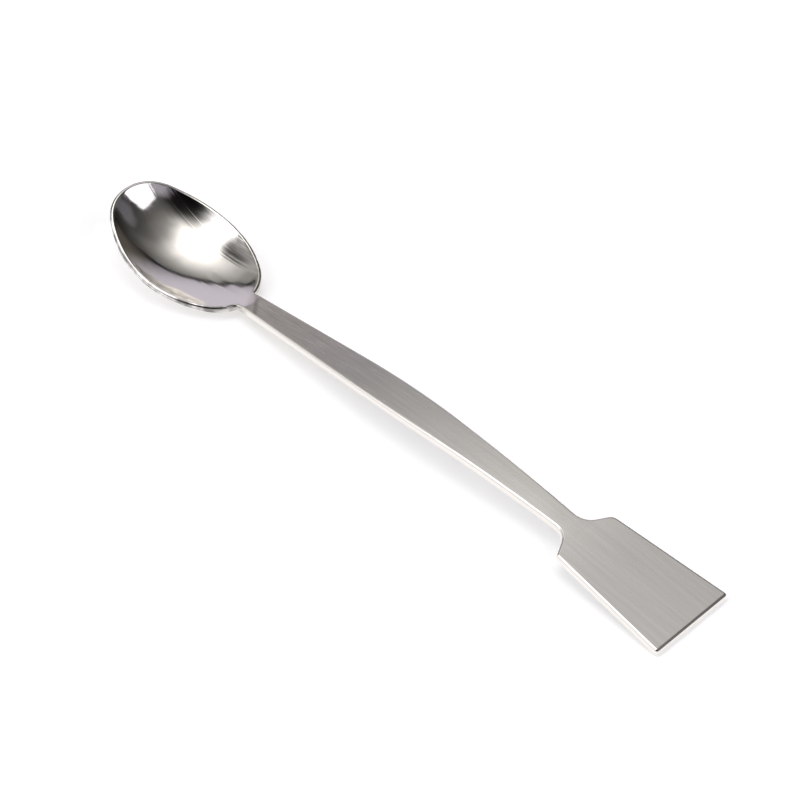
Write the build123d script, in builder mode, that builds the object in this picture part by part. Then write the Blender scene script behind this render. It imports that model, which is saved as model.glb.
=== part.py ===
import os
from math import asin, atan, atan2, degrees, radians, tan
from build123d import *

# Lab spatula of one piece of steel strip: a spoon bowl, a flat arched handle and a square-ended blade.
# Millimetres. X runs along the length with the blade at +X, Y across, Z up.
# The origin lies under the middle of the length on the plane the spatula rests on.

# Whole part
overall_length = 200.0
strip_thickness = 2.0
top_edge_radius = 0.7
under_edge_radius = 0.4

# Bowl
bowl_length = 46.6
bowl_width = 31.4
bowl_end_radius = 12.5
bowl_wall = 1.6
bowl_deepest_from_tip = 30.0
bowl_cross_radius = 27.6
bowl_tip_radius = 40.7
lip_past_root = 2.6
heel_past_root = 5.0
lip_radius = 3.0
heel_blend_radius = 4.0

# Handle
neck_past_root = 3.4
neck_width = 6.8
neck_fillet_radius = 1.2
taper_meet_from_tip = 103.0
taper_meet_width = 10.8
taper_reach_share = 0.28
waist_from_end = 41.8
waist_width = 6.4
arch_peak_from_end = 76.1
arch_peak_rise = 8.0
neck_rise = 2.5
arch_reach_share = 0.48

# Blade
far_blade_length = 34.2
near_blade_length = 35.0
blade_end_width = 25.4
shoulder_width = 19.3
shoulder_angle = 62.0
shoulder_fillet_radius = 5.0
far_shoulder_radius = 2.5
near_shoulder_radius = 0.8
end_corner_radius = 0.8

# Places along the length
tip_x = -overall_length / 2
end_x = overall_length / 2
bowl_mid_x = tip_x + bowl_length / 2
bowl_root_x = tip_x + bowl_length
deepest_x = tip_x + bowl_deepest_from_tip
neck_x = bowl_root_x + neck_past_root
lip_x = bowl_root_x + lip_past_root
heel_x = bowl_root_x + heel_past_root
meet_x = tip_x + taper_meet_from_tip
waist_x = end_x - waist_from_end
far_shoulder_x = end_x - far_blade_length
near_shoulder_x = end_x - near_blade_length
arch_peak_x = end_x - arch_peak_from_end
strip_root_x = bowl_root_x - bowl_wall / 2
bowl_past_x = heel_x + strip_thickness
bowl_axis_z = bowl_wall + bowl_cross_radius

# Oval of the bowl: two end arcs that run on into two flatter side arcs
bowl_half = bowl_width / 2
end_centre = bowl_length / 2 - bowl_end_radius
side_centre = (end_centre**2 - (bowl_half - bowl_end_radius) ** 2) / (2 * (bowl_half - bowl_end_radius))
bowl_side_radius = bowl_half + side_centre
end_turn = degrees(atan2(side_centre, end_centre))
side_turn = 180 - 2 * end_turn

# Slopes of the handle sides and of the underside
neck_taper = (taper_meet_width - neck_width) / 2 / (meet_x - neck_x)
waist_taper = (taper_meet_width - waist_width) / 2 / (waist_x - meet_x)
blade_slope = arch_peak_rise / arch_peak_from_end
neck_slope = (arch_peak_rise - neck_rise) / (arch_peak_x - neck_x)
taper_turn = atan(neck_taper) + atan(waist_taper)
taper_blend_radius = taper_reach_share * (waist_x - meet_x) / tan(taper_turn / 2)
bowl_root_half = neck_width / 2 - neck_taper * (neck_x - bowl_mid_x)
blade_root_half = waist_width / 2 - waist_taper * (far_shoulder_x - waist_x)
shoulder_depth = shoulder_width / 2 / tan(radians(shoulder_angle))
far_rear_x = far_shoulder_x - shoulder_depth
near_rear_x = near_shoulder_x - shoulder_depth
arch_turn = atan(blade_slope) + atan(neck_slope)
arch_radius = arch_reach_share * (arch_peak_x - strip_root_x) / tan(arch_turn / 2)
strip_root_z = neck_rise - neck_slope * (neck_x - strip_root_x)
neck_mid_z = neck_rise + strip_thickness / 2
neck_top_z = neck_rise + strip_thickness
bowl_root_mid_z = neck_mid_z - neck_slope * (neck_x - bowl_root_x)
bowl_past_mid_z = neck_mid_z + neck_slope * (bowl_past_x - neck_x)

# Lengthwise arcs of the bowl that reach the top of the neck at the lip and its underside at the heel
lip_z = neck_top_z + neck_slope * (lip_x - neck_x)
lip_height = lip_z - bowl_wall
bowl_neck_radius = ((lip_x - deepest_x) ** 2 + lip_height**2) / (2 * lip_height)
heel_z = neck_rise + neck_slope * (heel_x - neck_x)
bowl_heel_radius = ((heel_x - deepest_x) ** 2 + heel_z**2) / (2 * heel_z)

# Turns of the lengthwise arcs of the bowl, a little past the tip and past the neck
tip_turn = degrees(asin((bowl_deepest_from_tip + strip_thickness) / bowl_tip_radius))
neck_turn = degrees(asin((bowl_past_x - deepest_x) / bowl_neck_radius))
heel_turn = degrees(asin((bowl_past_x - deepest_x) / bowl_heel_radius))

with BuildPart() as spatula:
    # Outside of the bowl: two lengthwise arcs turned about an axis above the rim
    with BuildSketch(Plane.XY.offset(bowl_axis_z)):
        with BuildLine():
            outer_tip = JernArc(
                start=(deepest_x, bowl_axis_z),
                tangent=(-1, 0),
                radius=bowl_tip_radius + bowl_wall,
                arc_size=tip_turn,
            )
            outer_heel = JernArc(
                start=(deepest_x, bowl_axis_z),
                tangent=(1, 0),
                radius=bowl_heel_radius,
                arc_size=-heel_turn,
            )
            Polyline(outer_tip @ 1, ((outer_tip @ 1).X, 0), ((outer_heel @ 1).X, 0), outer_heel @ 1)
        make_face()
    revolve(axis=Axis((0, 0, bowl_axis_z), (-1, 0, 0)), revolution_arc=180)

    # Under the neck the bowl ends inside the thickness of the strip
    with BuildSketch(Plane.XZ):
        with BuildLine():
            Polyline(
                (bowl_root_x, bowl_root_mid_z),
                (bowl_root_x, bowl_axis_z),
                (bowl_past_x, bowl_axis_z),
                (bowl_past_x, bowl_past_mid_z),
                close=True,
            )
        make_face()
    extrude(amount=bowl_axis_z, both=True, mode=Mode.SUBTRACT)

    # Strip seen from the side: blade run, arch and neck run
    with BuildSketch(Plane.XZ):
        with BuildLine():
            FilletPolyline(
                (end_x + strip_thickness, -blade_slope * strip_thickness),
                (arch_peak_x, arch_peak_rise),
                (strip_root_x, strip_root_z),
                radius=arch_radius,
            )
            offset(amount=strip_thickness, side=Side.RIGHT)
        make_face()
    extrude(amount=bowl_width, both=True)

    # Blank outline: oval bowl, tapered handle and blade
    with BuildSketch() as outline:
        with BuildLine():
            CenterArc((bowl_mid_x - end_centre, 0), bowl_end_radius, 180 - end_turn, 2 * end_turn)
            CenterArc((bowl_mid_x, side_centre), bowl_side_radius, 180 + end_turn, side_turn)
            CenterArc((bowl_mid_x + end_centre, 0), bowl_end_radius, -end_turn, 2 * end_turn)
            CenterArc((bowl_mid_x, -side_centre), bowl_side_radius, end_turn, side_turn)
        make_face()
        with BuildLine():
            Polyline(
                (bowl_mid_x, bowl_root_half),
                (meet_x, taper_meet_width / 2),
                (far_shoulder_x, blade_root_half),
                (far_shoulder_x, -blade_root_half),
                (meet_x, -taper_meet_width / 2),
                (bowl_mid_x, -bowl_root_half),
                close=True,
            )
        make_face()
        with BuildLine():
            Polyline(
                (end_x, blade_end_width / 2),
                (far_shoulder_x, shoulder_width / 2),
                (far_rear_x, 0),
                (near_rear_x, 0),
                (near_shoulder_x, -shoulder_width / 2),
                (end_x, -blade_end_width / 2),
                close=True,
            )
        make_face()
        for side, rear_x, shoulder_x, shoulder_radius in (
            (1, far_rear_x, far_shoulder_x, far_shoulder_radius),
            (-1, near_rear_x, near_shoulder_x, near_shoulder_radius),
        ):
            neck = outline.vertices().sort_by_distance((bowl_root_x, side * neck_width / 2))[0]
            fillet(neck, neck_fillet_radius)
            widest = outline.vertices().sort_by_distance((meet_x, side * taper_meet_width / 2))[0]
            fillet(widest, taper_blend_radius)
            shoulder_root = outline.vertices().sort_by_distance((rear_x, side * waist_width / 2))[0]
            fillet(shoulder_root, shoulder_fillet_radius)
            shoulder = outline.vertices().sort_by_distance((shoulder_x, side * shoulder_width / 2))[0]
            fillet(shoulder, shoulder_radius)
            end_corner = outline.vertices().sort_by_distance((end_x, side * blade_end_width / 2))[0]
            fillet(end_corner, end_corner_radius)
    extrude(amount=bowl_cross_radius, mode=Mode.INTERSECT)

    # Hollow of the bowl
    with BuildSketch(Plane.XY.offset(bowl_axis_z)):
        with BuildLine():
            inner_tip = JernArc(
                start=(deepest_x, bowl_cross_radius),
                tangent=(-1, 0),
                radius=bowl_tip_radius,
                arc_size=tip_turn,
            )
            inner_neck = JernArc(
                start=(deepest_x, bowl_cross_radius),
                tangent=(1, 0),
                radius=bowl_neck_radius,
                arc_size=-neck_turn,
            )
            Polyline(inner_tip @ 1, ((inner_tip @ 1).X, 0), ((inner_neck @ 1).X, 0), inner_neck @ 1)
        make_face()
    revolve(axis=Axis((0, 0, bowl_axis_z), (-1, 0, 0)), revolution_arc=180, mode=Mode.SUBTRACT)

    # Rounded lip of the hollow on the neck and rounded heel below it
    lip = spatula.edges().sort_by_distance((lip_x, 0, lip_z))[0]
    fillet(lip, lip_radius)
    heel = spatula.edges().sort_by_distance((heel_x, 0, heel_z))[0]
    fillet(heel, heel_blend_radius)

    # Rounded edges all round the blank, above and below
    walls = spatula.faces().filter_by(lambda face: round(face.normal_at().Z, 2) == 0)
    upper = spatula.faces().filter_by(lambda face: round(face.normal_at().Z, 2) > 0)
    fillet(walls.edges() & upper.edges(), top_edge_radius)
    walls = spatula.faces().filter_by(lambda face: round(face.normal_at().Z, 2) == 0)
    under = spatula.faces().filter_by(lambda face: round(face.normal_at().Z, 2) < 0)
    fillet(walls.edges() & under.edges(), under_edge_radius)

spatula.part.label = "spatula"
os.makedirs("parts", exist_ok=True)
export_step(spatula.part, "parts/spatula.step")
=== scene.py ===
from math import cos, radians, sin

import bmesh
import bpy
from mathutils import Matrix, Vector


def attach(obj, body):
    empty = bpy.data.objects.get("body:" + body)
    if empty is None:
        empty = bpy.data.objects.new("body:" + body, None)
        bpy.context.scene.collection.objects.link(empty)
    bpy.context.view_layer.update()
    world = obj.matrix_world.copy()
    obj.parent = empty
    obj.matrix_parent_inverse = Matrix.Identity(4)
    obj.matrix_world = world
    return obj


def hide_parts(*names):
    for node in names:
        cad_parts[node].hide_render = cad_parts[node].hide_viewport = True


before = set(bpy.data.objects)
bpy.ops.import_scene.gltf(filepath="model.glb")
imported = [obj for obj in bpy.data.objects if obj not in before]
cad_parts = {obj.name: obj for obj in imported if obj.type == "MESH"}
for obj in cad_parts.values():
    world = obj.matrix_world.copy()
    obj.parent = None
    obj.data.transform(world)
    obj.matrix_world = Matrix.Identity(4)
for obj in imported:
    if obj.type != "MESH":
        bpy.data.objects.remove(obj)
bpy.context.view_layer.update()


# Spatula.
# One blank of stainless strip about 2 mm thick, stamped, with the bowl pressed in and the handle bent to an
# arch. It was brushed along its length, and the bowl was then polished the same way until it mirrors.
def linear(hex_colour):
    """Linear RGBA of an sRGB hex colour."""
    channels = [int(hex_colour[i : i + 2], 16) / 255 for i in (1, 3, 5)]
    return [c / 12.92 if c <= 0.04045 else ((c + 0.055) / 1.055) ** 2.4 for c in channels] + [1.0]


def add_node(tree, kind, links=None, **settings):
    """A new node with its settings, and each input linked to a socket or set to a value."""
    new = tree.nodes.new(kind)
    for name, value in settings.items():
        setattr(new, name, value)
    for name, value in (links or {}).items():
        if isinstance(value, bpy.types.NodeSocket):
            tree.links.new(value, new.inputs[name])
        else:
            new.inputs[name].default_value = value
    return new


mm = 0.001

# Mirror polish of the bowl, which ends on a slant at the neck, and painted shade along the faint crease past
# it
polish_from_x = -51.4 * mm
polish_full_x = -53.8 * mm
polish_slant = 0.6
crease_x = -49.8 * mm
crease_half = 1.4 * mm
crease_slant = 0.9
crease_shade_strength = 0.45

# Rounded edges of the handle and blade, polished where they turn away from the flat
edges_from = -51 * mm
edges_to = -49 * mm
edge_start = cos(radians(9))
edge_full = cos(radians(16))

# Upright rim round the bowl, painted darker as shade, with painted dark and bright reflection marks
bowl_middle_x = -76.7 * mm
rim_start = 0.5 * mm
rim_full = 4 * mm
rim_facing_start = -0.5
rim_facing_full = -0.2
rim_mark = 4 * mm
rim_shade_level = 0.42
rim_bright = 0.66

# Cut end of the blade and its far edge, painted dark on their upper rounding as shade
end_start = 99.3 * mm
end_full = 99.6 * mm
blade_edge_from = 58 * mm
blade_edge_to = 66 * mm
far_facing_start = 0.2
far_facing_full = 0.5
cut_facing_start = 0.3
cut_facing_full = 0.7

# Painted reflection tone along the steel: the handle warmer near the bowl, the blade darker as painted shade
painted_warm_to = -40 * mm
painted_cool_from = -5 * mm
blade_root_x = 45 * mm
blade_x = 80 * mm
tint_patch = 22 * mm

# Brushed lines of the handle and blade
groove_length = 60 * mm
groove_width = 0.40 * mm
groove_depth = 0.003 * mm
brush_length = 30 * mm
brush_width = 1.1 * mm
brush_dark = 0.95
brush_light = 1.05

# Polish lines of the bowl, deeper on its far side
polish_line_length = 35 * mm
polish_line_width = 0.9 * mm
polish_wave_length = 60 * mm
polish_wave_width = 1.6 * mm
wave_share = 0.9
ridge_start = 0.44
ridge_full = 0.80
wear_from_y = 3.5 * mm
wear_to_y = 10 * mm
polish_depth_near = 0.0018 * mm
polish_depth_far = 0.0216 * mm

# Range that most of a noise keeps to, and the roughness that it gives
noise_low = 0.3
noise_high = 0.7
satin_smooth = 0.21
satin_rough = 0.28
mirror_smooth = 0.07
mirror_rough = 0.13

# Brushed stainless steel: a soft grey sheen drawn out across fine lengthwise lines, and a bowl that mirrors
# the room with the same lines as faint streaks. The lines are drawn coarser than real ones so that they show.
steel = bpy.data.materials.new("stainless_steel_brushed")
steel.use_nodes = True
tree = steel.node_tree
tree.nodes.clear()
place = add_node(tree, "ShaderNodeTexCoord").outputs["Object"]
along, across, _ = add_node(tree, "ShaderNodeSeparateXYZ", {"Vector": place}).outputs
normal = add_node(tree, "ShaderNodeNewGeometry").outputs["Normal"]
_, far_facing, up_facing = add_node(tree, "ShaderNodeSeparateXYZ", {"Vector": normal}).outputs
flatness = add_node(tree, "ShaderNodeMath", {0: up_facing}, operation="ABSOLUTE").outputs["Value"]
polish_place = add_node(
    tree, "ShaderNodeMath", {0: across, 1: polish_slant, 2: along}, operation="MULTIPLY_ADD"
).outputs["Value"]
crease_place = add_node(
    tree, "ShaderNodeMath", {0: across, 1: crease_slant, 2: along}, operation="MULTIPLY_ADD"
).outputs["Value"]
from_middle = add_node(
    tree,
    "ShaderNodeVectorMath",
    {0: place, 1: (1, 1, 0), 2: (-bowl_middle_x, 0, 0)},
    operation="MULTIPLY_ADD",
).outputs["Vector"]
outward = add_node(
    tree, "ShaderNodeVectorMath", {0: from_middle, 1: normal}, operation="DOT_PRODUCT"
).outputs["Value"]

# Noise drawn out to marks of a real length, width and height; without a height they run straight down
marks = {}
for name, sizes, detail, coarseness in (
    ("grooves", (groove_length, groove_width, groove_width), 4.0, 0.6),
    ("brush", (brush_length, brush_width, None), 3.0, 0.6),
    ("polish_lines", (polish_line_length, polish_line_width, None), 3.0, 0.55),
    ("polish_waves", (polish_wave_length, polish_wave_width, None), 2.0, 0.5),
    ("patches", (tint_patch, tint_patch, tint_patch), 2.0, 0.5),
    ("rim", (rim_mark, rim_mark, rim_mark), 2.0, 0.5),
):
    scale = [1 / size if size else 0.0 for size in sizes]
    drawn_out = add_node(tree, "ShaderNodeMapping", {"Vector": place, "Scale": scale}).outputs["Vector"]
    marks[name] = add_node(
        tree,
        "ShaderNodeTexNoise",
        {"Vector": drawn_out, "Scale": 1.0, "Detail": detail, "Roughness": coarseness},
    ).outputs["Fac"]

# Share that each finish or painted shade takes, by what it is measured along, where it starts and is full
shares = {}
for name, measure, start, full, blend in (
    ("in_bowl", polish_place, polish_from_x, polish_full_x, "SMOOTHSTEP"),
    ("steep", flatness, edge_start, edge_full, "SMOOTHSTEP"),
    ("past_neck", along, edges_from, edges_to, "LINEAR"),
    ("outside", outward, rim_start, rim_full, "LINEAR"),
    ("upright", up_facing, rim_facing_start, rim_facing_full, "LINEAR"),
    ("at_end", along, end_start, end_full, "LINEAR"),
    ("on_blade", along, blade_edge_from, blade_edge_to, "LINEAR"),
    ("far_side", far_facing, far_facing_start, far_facing_full, "LINEAR"),
    ("cut_rounding", up_facing, cut_facing_start, cut_facing_full, "LINEAR"),
    ("crease_rise", crease_place, crease_x - crease_half, crease_x, "SMOOTHSTEP"),
    ("crease_fall", crease_place, crease_x + crease_half, crease_x, "SMOOTHSTEP"),
    # Painted tone along the length: the handle warmer towards the bowl, the blade darker as painted shade
    ("painted_cooler", along, painted_warm_to, painted_cool_from, "LINEAR"),
    ("painted_darker", along, blade_root_x, blade_x, "SMOOTHSTEP"),
    ("rim_shine", marks["rim"], rim_shade_level, rim_bright, "LINEAR"),
    ("polish_ridges", marks["polish_lines"], ridge_start, ridge_full, "SMOOTHSTEP"),
):
    shares[name] = add_node(
        tree,
        "ShaderNodeMapRange",
        {"Value": measure, "From Min": start, "From Max": full},
        interpolation_type=blend,
    ).outputs["Result"]

# Shares that come from two others
for name, first, operation, second in (
    ("on_edge", "steep", "MULTIPLY", "past_neck"),
    ("polished", "in_bowl", "MAXIMUM", "on_edge"),
    ("outer_wall", "outside", "MULTIPLY", "upright"),
    ("on_rim", "outer_wall", "MULTIPLY", "in_bowl"),
    # Painted shade on the far edge and the cut end of the blade
    ("on_far_edge", "far_side", "MULTIPLY", "on_blade"),
    ("at_cut", "at_end", "MAXIMUM", "on_far_edge"),
    ("on_cut", "at_cut", "MULTIPLY", "cut_rounding"),
    ("crease_line", "crease_rise", "MULTIPLY", "crease_fall"),
):
    shares[name] = add_node(
        tree, "ShaderNodeMath", {0: shares[first], 1: shares[second]}, operation=operation
    ).outputs["Value"]
# Painted shade of the crease, faded out on the polished edges
crease_off_edge = add_node(
    tree, "ShaderNodeMapRange", {"Value": shares["on_edge"], "To Min": crease_shade_strength, "To Max": 0.0}
).outputs["Result"]
shares["on_crease"] = add_node(
    tree, "ShaderNodeMath", {0: shares["crease_line"], 1: crease_off_edge}, operation="MULTIPLY"
).outputs["Value"]

# Roughness and shade that follow the marks, and the depth of the polish across the bowl
levels = {}
for name, measure, start, full, at_start, at_full in (
    ("satin_roughness", marks["grooves"], noise_low, noise_high, satin_smooth, satin_rough),
    ("mirror_roughness", marks["polish_lines"], noise_low, noise_high, mirror_smooth, mirror_rough),
    ("brush_shade", marks["brush"], noise_low, noise_high, brush_dark, brush_light),
    ("polish_depth", across, wear_from_y, wear_to_y, polish_depth_near, polish_depth_far),
):
    levels[name] = add_node(
        tree,
        "ShaderNodeMapRange",
        {"Value": measure, "From Min": start, "From Max": full, "To Min": at_start, "To Max": at_full},
    ).outputs["Result"]
roughness = add_node(
    tree,
    "ShaderNodeMix",
    {"Factor": shares["polished"], "A": levels["satin_roughness"], "B": levels["mirror_roughness"]},
).outputs["Result"]

# Greys of the satin handle and the mirrored bowl, with painted warmth along the handle, and painted shade on
# the blade, the rim, the crease and the cut edges, with painted shine in the rim's marks, laid in turn
tints = {
    "warm_satin": linear("#C3BEB7"),
    "cool_satin": linear("#BFBCB9"),
    "blade_satin": linear("#ADAAA8"),
    "mirror_dark": linear("#CDC9C5"),
    "mirror_light": linear("#D6D2CD"),
    # Painted shade on the rim's outer wall, and painted shine in its bright marks
    "rim_dark": linear("#777573"),
    "rim_light": linear("#CFCCCA"),
    # Painted shade along the crease at the neck
    "crease_shade": linear("#757068"),
    # Painted shade on the upper rounding of the blade's cut end and far edge
    "cut_edge_shade": linear("#5E5B59"),
}
colour_result = 2
for name, first, second, share in (
    ("handle", "warm_satin", "cool_satin", shares["painted_cooler"]),
    ("satin", "handle", "blade_satin", shares["painted_darker"]),
    ("mirror", "mirror_dark", "mirror_light", marks["patches"]),
    ("rim", "rim_dark", "rim_light", shares["rim_shine"]),
):
    tints[name] = add_node(
        tree, "ShaderNodeMix", {"Factor": share, "A": tints[first], "B": tints[second]}, data_type="RGBA"
    ).outputs[colour_result]
tint = add_node(
    tree, "ShaderNodeVectorMath", {0: tints["satin"], "Scale": levels["brush_shade"]}, operation="SCALE"
).outputs["Vector"]
for name, share in (
    ("mirror", shares["polished"]),
    ("rim", shares["on_rim"]),
    ("crease_shade", shares["on_crease"]),
    ("cut_edge_shade", shares["on_cut"]),
):
    tint = add_node(
        tree, "ShaderNodeMix", {"Factor": share, "A": tint, "B": tints[name]}, data_type="RGBA"
    ).outputs[colour_result]

groove_height = add_node(
    tree, "ShaderNodeMath", {0: marks["grooves"], 1: groove_depth}, operation="MULTIPLY"
).outputs["Value"]
polish = add_node(
    tree,
    "ShaderNodeMath",
    {0: marks["polish_waves"], 1: wave_share, 2: shares["polish_ridges"]},
    operation="MULTIPLY_ADD",
).outputs["Value"]
polish_height = add_node(
    tree, "ShaderNodeMath", {0: polish, 1: levels["polish_depth"]}, operation="MULTIPLY"
).outputs["Value"]
line_height = add_node(
    tree, "ShaderNodeMix", {"Factor": shares["in_bowl"], "A": groove_height, "B": polish_height}
).outputs["Result"]
lines = add_node(
    tree, "ShaderNodeBump", {"Strength": 1.0, "Distance": 1.0, "Height": line_height}
).outputs["Normal"]
surface = add_node(
    tree,
    "ShaderNodeBsdfPrincipled",
    {"Base Color": tint, "Metallic": 1.0, "Roughness": roughness, "Normal": lines},
).outputs["BSDF"]
add_node(tree, "ShaderNodeOutputMaterial", {"Surface": surface})

# The form itself, with its faces joined and shaded as one skin so that the bowl mirrors without a seam
seam_reach = 0.001 * mm
blank = bmesh.new()
blank.from_mesh(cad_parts["spatula"].data)
bmesh.ops.remove_doubles(blank, verts=blank.verts, dist=seam_reach)
for face in blank.faces:
    face.smooth = True
blank_mesh = bpy.data.meshes.new("spatula_blank")
blank.to_mesh(blank_mesh)
blank.free()
if "custom_normal" in blank_mesh.attributes:
    blank_mesh.attributes.remove(blank_mesh.attributes["custom_normal"])
blank_mesh.materials.clear()
blank_mesh.materials.append(steel)
spatula = bpy.data.objects.new("spatula_steel", blank_mesh)
bpy.context.scene.collection.objects.link(spatula)
spatula.modifiers.new("even_shading", "WEIGHTED_NORMAL").mode = "FACE_AREA"
shaded_mesh = bpy.data.meshes.new_from_object(spatula.evaluated_get(bpy.context.evaluated_depsgraph_get()))
spatula.modifiers.clear()
spatula.data = shaded_mesh
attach(spatula, "root")
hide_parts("spatula")


# Table.
# A plain matt white sheet under the spatula, lit until it runs into the white behind it.
# It keeps the soft shadow of the spatula.
sheet_half = 2.0
sheet_corners = [(x * sheet_half, y * sheet_half, 0) for x, y in ((-1, -1), (1, -1), (1, 1), (-1, 1))]
sheet_mesh = bpy.data.meshes.new("white_sheet")
sheet_mesh.from_pydata(sheet_corners, [], [(0, 1, 2, 3)])
sheet = bpy.data.objects.new("white_sheet", sheet_mesh)
bpy.context.scene.collection.objects.link(sheet)

# Matt white paper: an even white that takes a shadow, lifted where it is seen, and more where it is mirrored
lift_where_seen = 0.34
lift_where_mirrored = 0.75
paper = bpy.data.materials.new("paper_matt_white")
paper.use_nodes = True
tree = paper.node_tree
tree.nodes.clear()
rays = add_node(tree, "ShaderNodeLightPath").outputs
seen = add_node(
    tree,
    "ShaderNodeMath",
    {0: rays["Is Camera Ray"], 1: rays["Is Transmission Ray"]},
    operation="MAXIMUM",
).outputs["Value"]
seen_lift = add_node(
    tree, "ShaderNodeMath", {0: seen, 1: lift_where_seen}, operation="MULTIPLY"
).outputs["Value"]
lift = add_node(
    tree,
    "ShaderNodeMath",
    {0: rays["Is Glossy Ray"], 1: lift_where_mirrored, 2: seen_lift},
    operation="MULTIPLY_ADD",
).outputs["Value"]
matt = add_node(tree, "ShaderNodeBsdfDiffuse", {"Color": linear("#E9E9E9")}).outputs["BSDF"]
whitening = add_node(
    tree, "ShaderNodeEmission", {"Color": linear("#FFFFFF"), "Strength": lift}
).outputs["Emission"]
whitened = add_node(tree, "ShaderNodeAddShader", {0: matt, 1: whitening}).outputs["Shader"]
add_node(tree, "ShaderNodeOutputMaterial", {"Surface": whitened})
sheet_mesh.materials.append(paper)


# Studio light.
# A glowing ceiling leans away from the blade, a window-like panel stands beyond it, and pale walls light
# the near side. The bowl mirrors the dark of the camera and its holder, and a lilac-white sweep behind it.
def on_sphere(heading, elevation, distance=1.0):
    """A point round the spatula, by heading from +X towards +Y and elevation, in degrees."""
    h, e = radians(heading), radians(elevation)
    return Vector((cos(h) * cos(e), sin(h) * cos(e), sin(e))) * distance


window_distance = 1.4
window_corners = ((48, 55), (9, 61), (-10, 25), (48, 20))
window_mesh = bpy.data.meshes.new("window_panel")
window_mesh.from_pydata([on_sphere(h, e, window_distance) for h, e in window_corners], [], [(0, 1, 2, 3)])
window_panel = bpy.data.objects.new("window_panel", window_mesh)
bpy.context.scene.collection.objects.link(window_panel)

# Daylight in the window: an even, slightly blue glow
window_strength = 2.1
daylight = bpy.data.materials.new("window_daylight")
daylight.use_nodes = True
tree = daylight.node_tree
tree.nodes.clear()
glow = add_node(
    tree, "ShaderNodeEmission", {"Color": linear("#F8F6FF"), "Strength": window_strength}
).outputs["Emission"]
add_node(tree, "ShaderNodeOutputMaterial", {"Surface": glow})
window_mesh.materials.append(daylight)

world = bpy.data.worlds.new("studio_room")
world.use_nodes = True
bpy.context.scene.world = world
tree = world.node_tree
tree.nodes.clear()
direction = add_node(tree, "ShaderNodeTexCoord").outputs["Generated"]


def patch(heading, elevation, edge, core, outside=0.0, inside=1.0):
    """A soft round patch of the room, from its edge to its core, as angles from its middle in degrees."""
    middle = on_sphere(heading, elevation)
    cosine = add_node(
        tree, "ShaderNodeVectorMath", {0: direction, 1: middle}, operation="DOT_PRODUCT"
    ).outputs["Value"]
    return add_node(
        tree,
        "ShaderNodeMapRange",
        {
            "Value": cosine,
            "From Min": cos(radians(edge)),
            "From Max": cos(radians(core)),
            "To Min": outside,
            "To Max": inside,
        },
        interpolation_type="SMOOTHSTEP",
    ).outputs["Result"]


# The ceiling fades outwards from its middle, with a level at each angle in degrees
ceiling_middle = on_sphere(heading=152, elevation=75.5)
ceiling_strength = 2.6
fade_reach = 90
fade_end_level = 0.01
fade_levels = (
    (10, 0.95),
    (15, 0.80),
    (20, 0.59),
    (26, 0.386),
    (32, 0.236),
    (38, 0.14),
    (45, 0.077),
    (55, 0.032),
)
ceiling_cosine = add_node(
    tree, "ShaderNodeVectorMath", {0: direction, 1: ceiling_middle}, operation="DOT_PRODUCT"
).outputs["Value"]
ceiling_angle = add_node(tree, "ShaderNodeMath", {0: ceiling_cosine}, operation="ARCCOSINE").outputs["Value"]
ceiling_share = add_node(
    tree, "ShaderNodeMapRange", {"Value": ceiling_angle, "From Min": 0.0, "From Max": radians(fade_reach)}
).outputs["Result"]
ceiling = add_node(tree, "ShaderNodeFloatCurve", {"Value": ceiling_share})
fade = ceiling.mapping.curves[0]
fade.points[0].location = (0.0, 1.0)
fade.points[1].location = (1.0, fade_end_level)
for angle, level in fade_levels:
    fade.points.new(angle / fade_reach, level)
ceiling.mapping.update()
ceiling_glow = ceiling.outputs["Value"]
camera_dark = patch(heading=-44, elevation=60, edge=30, core=9, outside=1.0, inside=0.02)
holder_dark = patch(heading=-165, elevation=52, edge=15, core=5, outside=1.0, inside=0.05)
window_wall = patch(heading=45, elevation=52, edge=34, core=18, outside=1.0, inside=0.42)
fill = patch(heading=-126, elevation=56, edge=27, core=12, inside=1.4)

# The sweep reaches up to a straight edge behind the spatula, with a dark strip between it and the ceiling
sweep_heading = 142
sweep_top = 34.5
sweep = patch(sweep_heading, elevation=10, edge=44, core=10, inside=0.95)
under_sweep_top = patch(sweep_heading, elevation=sweep_top - 90, edge=90.8, core=89.2)
over_strip = patch(sweep_heading + 180, elevation=90 - sweep_top, edge=87.5, core=85, outside=0.1)

# The walls of the near side glow low down, most on the near left
low_down = patch(heading=0, elevation=-90, edge=126, core=102, inside=0.75)
near_side = patch(heading=-65, elevation=0, edge=108, core=80)
near_left = patch(heading=-135, elevation=12, edge=55, core=20, inside=1.1)
near_walls = add_node(
    tree, "ShaderNodeMath", {0: low_down, 1: near_side}, operation="MULTIPLY"
).outputs["Value"]
near_glow = add_node(
    tree, "ShaderNodeMath", {0: near_left, 1: near_walls}, operation="MAXIMUM"
).outputs["Value"]

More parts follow.
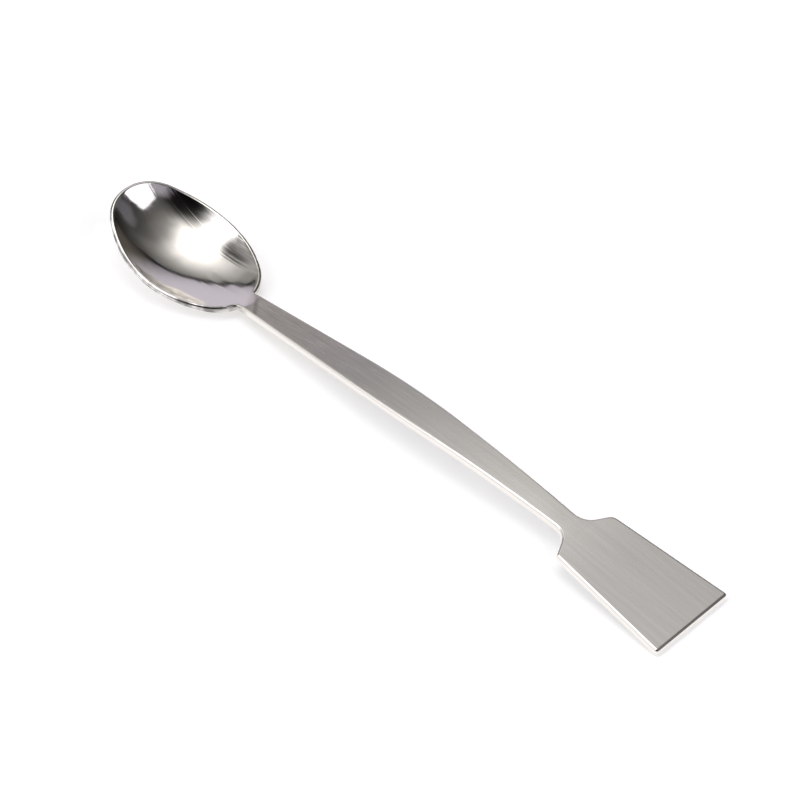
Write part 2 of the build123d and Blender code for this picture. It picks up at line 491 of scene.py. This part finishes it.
# Dim light on the far side, and the haze on either side of the window
dim_side = patch(heading=98, elevation=8, edge=24, core=8, inside=0.12)
haze_near_side = patch(heading=-14, elevation=48, edge=13, core=5, inside=0.55)
haze_far_side = patch(heading=63, elevation=33, edge=12, core=5, inside=0.17)

# Each light of the room has a colour, and the parts that are multiplied for its strength
lights = []
for colour, parts in (
    ("#FFFEFC", (ceiling_glow, ceiling_strength, camera_dark, holder_dark, window_wall, over_strip)),
    ("#F8F8FF", (fill, camera_dark, holder_dark)),
    ("#FFFFFF", (near_glow,)),
    ("#EFEAF8", (sweep, under_sweep_top)),
    ("#FFF2E4", (dim_side,)),
    ("#EEEAFA", (haze_near_side,)),
    ("#EEEAFA", (haze_far_side,)),
):
    strength = parts[0]
    for part in parts[1:]:
        strength = add_node(
            tree, "ShaderNodeMath", {0: strength, 1: part}, operation="MULTIPLY"
        ).outputs["Value"]
    light = add_node(tree, "ShaderNodeBackground", {"Color": linear(colour), "Strength": strength})
    lights.append(light.outputs["Background"])
room = lights[0]
for light in lights[1:]:
    room = add_node(tree, "ShaderNodeAddShader", {0: room, 1: light}).outputs["Shader"]
white = add_node(
    tree, "ShaderNodeBackground", {"Color": linear("#FFFFFF"), "Strength": 1.0}
).outputs["Background"]
camera_ray = add_node(tree, "ShaderNodeLightPath").outputs["Is Camera Ray"]
room_mix = add_node(tree, "ShaderNodeMixShader", {0: camera_ray, 1: room, 2: white}).outputs["Shader"]
add_node(tree, "ShaderNodeOutputWorld", {"Surface": room_mix})


# Camera.
# A long lens about 0.75 m off, looking down across the blade's near corner with the bowl at the upper left.
# Its lens and place were fitted to the edges of the spatula.
camera_elevation = 45.374
camera_azimuth = 44.94
camera_data = bpy.data.cameras.new("camera")
camera_data.sensor_width = 36.0
camera_data.lens = 133.245
camera = bpy.data.objects.new("camera", camera_data)
camera.location = (0.36969, -0.36752, 0.53290)
camera.rotation_euler = (radians(90 - camera_elevation), 0, radians(camera_azimuth))
bpy.context.scene.collection.objects.link(camera)
bpy.context.scene.camera = camera
bpy.context.scene.view_settings.view_transform = "Standard"
